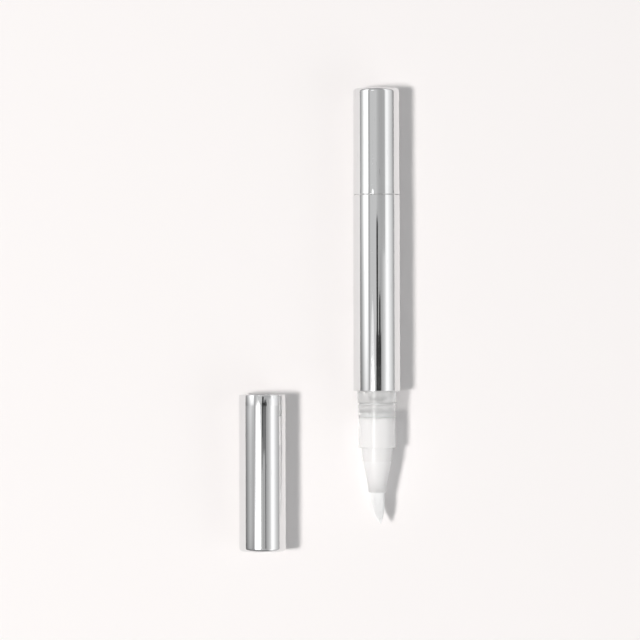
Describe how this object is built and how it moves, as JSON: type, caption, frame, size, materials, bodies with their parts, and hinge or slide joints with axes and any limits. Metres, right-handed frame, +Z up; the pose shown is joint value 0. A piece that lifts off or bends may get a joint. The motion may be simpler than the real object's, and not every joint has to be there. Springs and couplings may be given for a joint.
{
  "type": "brush-tip oil pen",
  "caption": "Twist-up oil pen with a mirror-bright barrel and knob, a clear neck, a tapered nozzle with a brush tip, and its pull-off cap lying beside it.",
  "frame": {"origin": "middle of the pair's footprint on the surface that the pen and its cap lie on", "axes": "+Z up from the surface, +Y along the pen towards the knob's closed end, +X from the cap towards the pen"},
  "size_m": [0.0445, 0.1272, 0.013],
  "materials": {
    "mirror_metal": "polished",
    "clear_plastic": "gloss",
    "frosted_plastic": "satin",
    "white_nylon": "satin",
    "milky_plastic": "satin",
    "white_plastic": "satin"
  },
  "bodies": {
    "barrel": {"outer_tube": "mirror_metal", "reservoir": "clear_plastic", "nozzle": "frosted_plastic", "brush_root": "white_nylon", "bristles": "white_nylon", "feed_tube": "milky_plastic", "brush_retainer": "milky_plastic", "screw_nut": "white_plastic"},
    "knob": {"knob_shell": "mirror_metal", "knob_core": "white_plastic", "driver": "white_plastic"},
    "drive_screw": {"drive_screw": "white_plastic"},
    "piston": {"piston": "milky_plastic"},
    "cap": {"cap_shell": "mirror_metal", "cap_liner": "milky_plastic"}
  },
  "joints": [
    {"name": "knob_twist", "type": "hinge", "parent": "barrel", "child": "knob", "pos_m": [0.01575, 0.03425, 0.0065], "axis": [0, -1, 0], "range_deg": [0, 7200]},
    {"name": "screw_feed", "type": "slide", "parent": "knob", "child": "drive_screw", "axis": [0, -1, 0], "range_m": [0, 0.03]},
    {"name": "piston_travel", "type": "slide", "parent": "barrel", "child": "piston", "axis": [0, -1, 0], "range_m": [0, 0.03]},
    {"name": "cap_pull", "type": "slide", "parent": "barrel", "child": "cap", "axis": [0, -1, 0], "range_m": [-0.001, 0.0385]}
  ],
  "couplings": [
    {"joint": "knob_twist", "follows": "screw_feed", "rad_per_m": 4188.8},
    {"joint": "piston_travel", "follows": "screw_feed", "ratio": 1}
  ]
}
